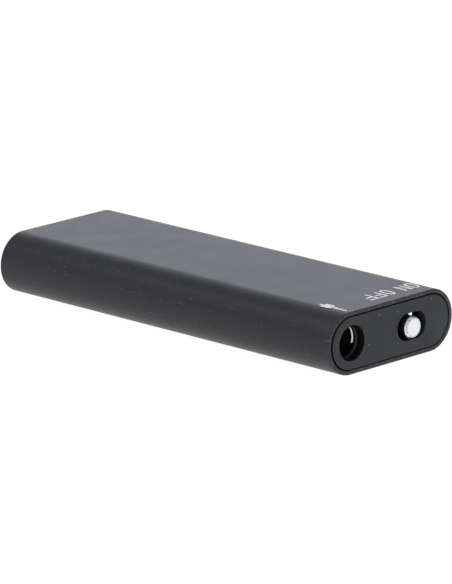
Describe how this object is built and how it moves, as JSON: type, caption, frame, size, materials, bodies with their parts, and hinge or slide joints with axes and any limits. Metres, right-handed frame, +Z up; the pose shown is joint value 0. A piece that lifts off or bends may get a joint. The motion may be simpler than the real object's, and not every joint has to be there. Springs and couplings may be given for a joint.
{
  "type": "pocket voice recorder",
  "caption": "Flat stick-shaped voice recorder: extruded case with round sides, jack mouth and slide power switch in the front cap, sound port at the rear.",
  "frame": {"origin": "middle of the flat underside that the recorder rests on", "axes": "+X across the width, +Y along the length from the front end with the jack and switch to the rear end, +Z up to the printed face"},
  "size_m": [0.02, 0.0517, 0.0071],
  "materials": {
    "anodised_aluminium": "bead-blasted, black anodised",
    "black_cap_plastic": "fine textured moulding",
    "carrier_plastic": "moulded",
    "jack_plastic": "moulded",
    "contact_metal": "plated spring sheet",
    "switch_steel": "plated sheet",
    "slider_plastic": "moulded",
    "knob_chrome": "bright plated",
    "board_laminate": "solder mask",
    "screw_steel": "zinc plated",
    "lamp_lens": "milky lens",
    "chip_black": "moulded epoxy",
    "lead_tin": "tinned",
    "capacitor_ceramic": "sintered",
    "resistor_black": "glazed",
    "cell_pouch": "laminated pouch",
    "film": "thin film",
    "foam": "open foam",
    "red_wire": "wire cover",
    "black_wire": "wire cover",
    "capsule_metal": "drawn can",
    "boot_rubber": "moulded",
    "mesh_fabric": "acoustic cloth",
    "thin_wire": "tinned wire"
  },
  "bodies": {
    "recorder": {"battery_cell": "cell_pouch", "battery_foam_pad": "foam", "battery_lead_negative": "black_wire", "battery_lead_positive": "red_wire", "battery_protection_board": "board_laminate", "battery_tabs": "contact_metal", "body_shell": "anodised_aluminium", "carrier_frame": "carrier_plastic", "ceramic_capacitors": "capacitor_ceramic", "chip_resistors": "resistor_black", "crystal_can": "lead_tin", "front_cap": "black_cap_plastic", "indicator_led": "lamp_lens", "insulation_film": "film", "jack_housing": "jack_plastic", "jack_sleeve_contact": "contact_metal", "jack_terminals": "contact_metal", "main_circuit_board": "board_laminate", "memory_chip": "chip_black", "microphone_boot": "boot_rubber", "microphone_capsule": "capsule_metal", "microphone_leads": "thin_wire", "pcb_screws": "screw_steel", "processor_chip": "chip_black", "processor_leads": "lead_tin", "protection_chip": "chip_black", "rear_cap": "black_cap_plastic", "sound_port_mesh": "mesh_fabric", "switch_base": "carrier_plastic", "switch_frame": "switch_steel", "switch_terminals": "contact_metal", "voltage_regulator": "chip_black"},
    "power_slider": {"switch_knob": "knob_chrome", "switch_slider": "slider_plastic", "switch_wiper": "contact_metal"},
    "front_ring_leaf": {"jack_front_ring_spring": "contact_metal"},
    "rear_ring_leaf": {"jack_rear_ring_spring": "contact_metal"},
    "tip_leaf": {"jack_tip_spring": "contact_metal"}
  },
  "joints": [
    {"name": "power_slide", "type": "slide", "parent": "recorder", "child": "power_slider", "axis": [1, 0, 0], "range_m": [0, 0.0012]},
    {"name": "front_ring_leaf_bend", "type": "hinge", "parent": "recorder", "child": "front_ring_leaf", "pos_m": [-0.0041, -0.0203, 0.00352], "axis": [0, 0, -1], "range_deg": [0, 5], "stiffness_Nm_per_rad": 0.03},
    {"name": "rear_ring_leaf_bend", "type": "hinge", "parent": "recorder", "child": "rear_ring_leaf", "pos_m": [-0.00625, -0.0179, 0.00137], "axis": [-1, 0, 0], "range_deg": [0, 5], "stiffness_Nm_per_rad": 0.03},
    {"name": "tip_leaf_bend", "type": "hinge", "parent": "recorder", "child": "tip_leaf", "pos_m": [-0.0041, -0.0153, 0.00352], "axis": [0, 0, -1], "range_deg": [0, 5], "stiffness_Nm_per_rad": 0.03}
  ]
}
